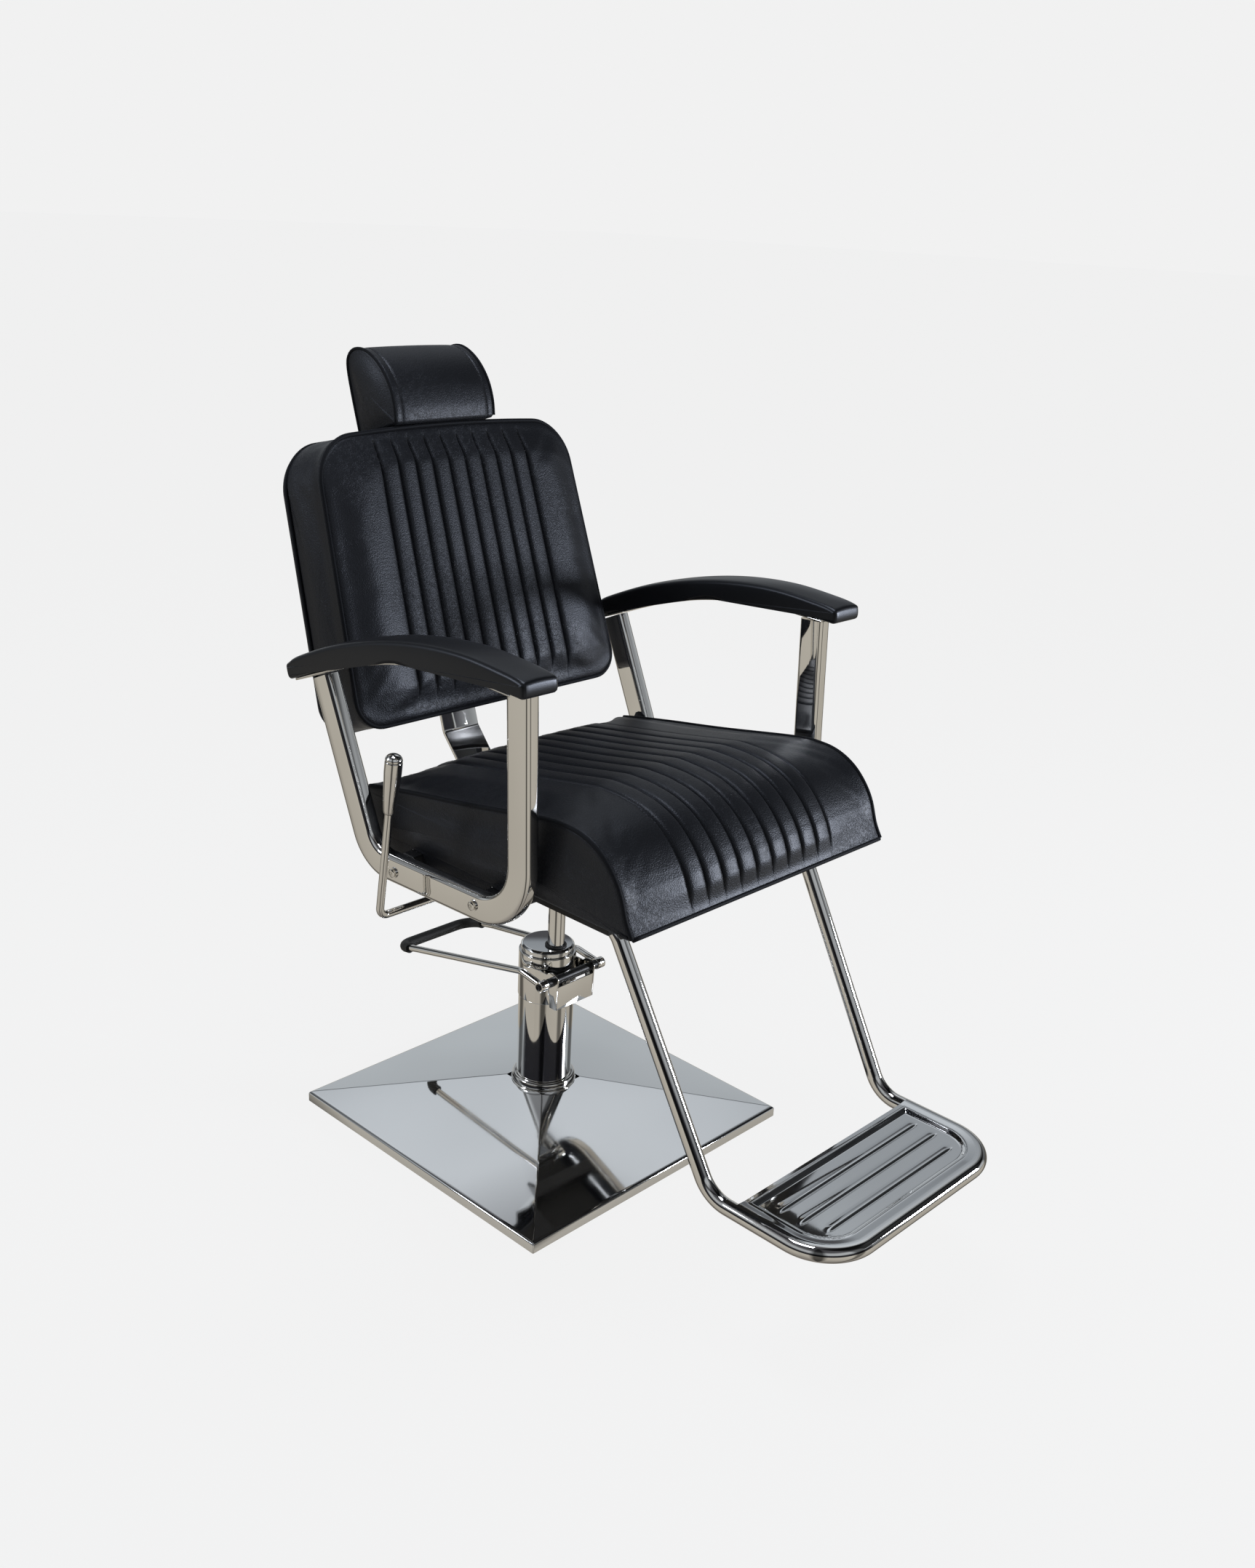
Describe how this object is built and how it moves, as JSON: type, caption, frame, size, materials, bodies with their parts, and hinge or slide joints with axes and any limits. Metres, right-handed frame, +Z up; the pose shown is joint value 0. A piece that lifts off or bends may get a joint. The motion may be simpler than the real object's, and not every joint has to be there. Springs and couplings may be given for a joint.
{
  "type": "hydraulic barber chair",
  "caption": "Hydraulic barber chair with square chrome base, foot pump, swivelling padded seat, reclining back, headrest, arm loops and footrest.",
  "frame": {"origin": "on the floor under the pump column's axis, at the middle of the square base", "axes": "+Z up; the sitter faces -Y, so +X is the sitter's left; the base's sides run along X and Y"},
  "size_m": [0.6828, 1.0822, 1.1571],
  "materials": {
    "chrome": "polished",
    "steel": "satin",
    "dark_steel": "satin",
    "iron": "matte",
    "vinyl": "satin",
    "pad_black": "satin",
    "rubber": "matte",
    "board": "matte"
  },
  "bodies": {
    "base": {"base_mat": "rubber", "base_weight": "iron", "base_cover": "chrome", "column_collar": "chrome", "pump_column": "chrome", "pump_sleeve": "chrome", "pump_cap": "chrome", "pump_cylinder": "steel", "ram_bushing": "steel", "ram_seal": "rubber", "pump_bracket": "chrome", "valve_block": "steel"},
    "valve_plunger": {"valve_plunger": "steel"},
    "pedal": {"pedal_bar": "chrome", "pedal_sleeve": "rubber", "pedal_tube": "dark_steel", "pedal_cam": "steel", "pedal_screw_left": "dark_steel", "pedal_screw_right": "dark_steel"},
    "ram": {"ram": "chrome", "ram_piston": "dark_steel"},
    "seat": {"swivel_hub": "steel", "mount_plate": "dark_steel", "rear_beam": "dark_steel", "front_beam": "dark_steel", "seat_board": "board", "seat_cushion": "vinyl", "arm_frame_left": "chrome", "arm_frame_right": "chrome", "arm_pad_left": "pad_black", "arm_pad_right": "pad_black", "arm_strip_left": "chrome", "arm_strip_right": "chrome", "arm_screw_front_left": "chrome", "arm_screw_front_right": "chrome", "arm_screw_rear_left": "chrome", "arm_screw_rear_right": "chrome", "footrest_frame": "chrome", "footrest_plate": "chrome", "footrest_socket_left": "dark_steel", "footrest_socket_right": "dark_steel", "hinge_block": "dark_steel", "hinge_pin": "steel", "lever_bearing": "dark_steel", "lock_guide": "dark_steel"},
    "backrest": {"back_bracket": "chrome", "back_cushion": "vinyl", "back_panel": "vinyl", "back_screw_lower": "chrome", "back_screw_upper": "chrome", "lock_quadrant": "steel", "post_guide_left": "steel", "post_guide_right": "steel"},
    "headrest": {"headrest_cushion": "vinyl", "headrest_post_left": "chrome", "headrest_post_right": "chrome"},
    "recline_lever": {"lever_rod": "chrome", "lever_grip": "chrome", "lever_knob": "chrome"},
    "lock_rod": {"lock_rod": "steel"}
  },
  "joints": [
    {"name": "ram_lift", "type": "slide", "parent": "base", "child": "ram", "axis": [0, 0, 1], "range_m": [-0.1, 0.05]},
    {"name": "seat_swivel", "type": "hinge", "parent": "ram", "child": "seat", "pos_m": [0, -0.018, 0.45], "axis": [0, 0, 1], "continuous": true},
    {"name": "pedal_press", "type": "hinge", "parent": "base", "child": "pedal", "pos_m": [0, -0.053, 0.262], "axis": [-1, 0, 0], "range_deg": [0, 15], "stiffness_Nm_per_rad": 10, "springref_deg": -14.32},
    {"name": "valve_travel", "type": "slide", "parent": "base", "child": "valve_plunger", "axis": [0, 0, -1], "range_m": [0, 0.0033]},
    {"name": "back_recline", "type": "hinge", "parent": "seat", "child": "backrest", "pos_m": [0, 0.118, 0.5], "axis": [-1, 0, 0], "range_deg": [0, 35]},
    {"name": "headrest_height", "type": "slide", "parent": "backrest", "child": "headrest", "axis": [0, 0.3107, 0.9505], "range_m": [0, 0.07]},
    {"name": "lever_pull", "type": "hinge", "parent": "seat", "child": "recline_lever", "pos_m": [-0.2, -0.022, 0.4516], "axis": [-1, 0, 0], "range_deg": [0, 18], "stiffness_Nm_per_rad": 3, "springref_deg": -8.59},
    {"name": "lock_travel", "type": "slide", "parent": "seat", "child": "lock_rod", "axis": [0, -1, 0], "range_m": [0, 0.0033]}
  ],
  "couplings": [
    {"joint": "valve_travel", "follows": "pedal_press", "m_per_rad": 0.012},
    {"joint": "lock_travel", "follows": "lever_pull", "m_per_rad": 0.01}
  ]
}
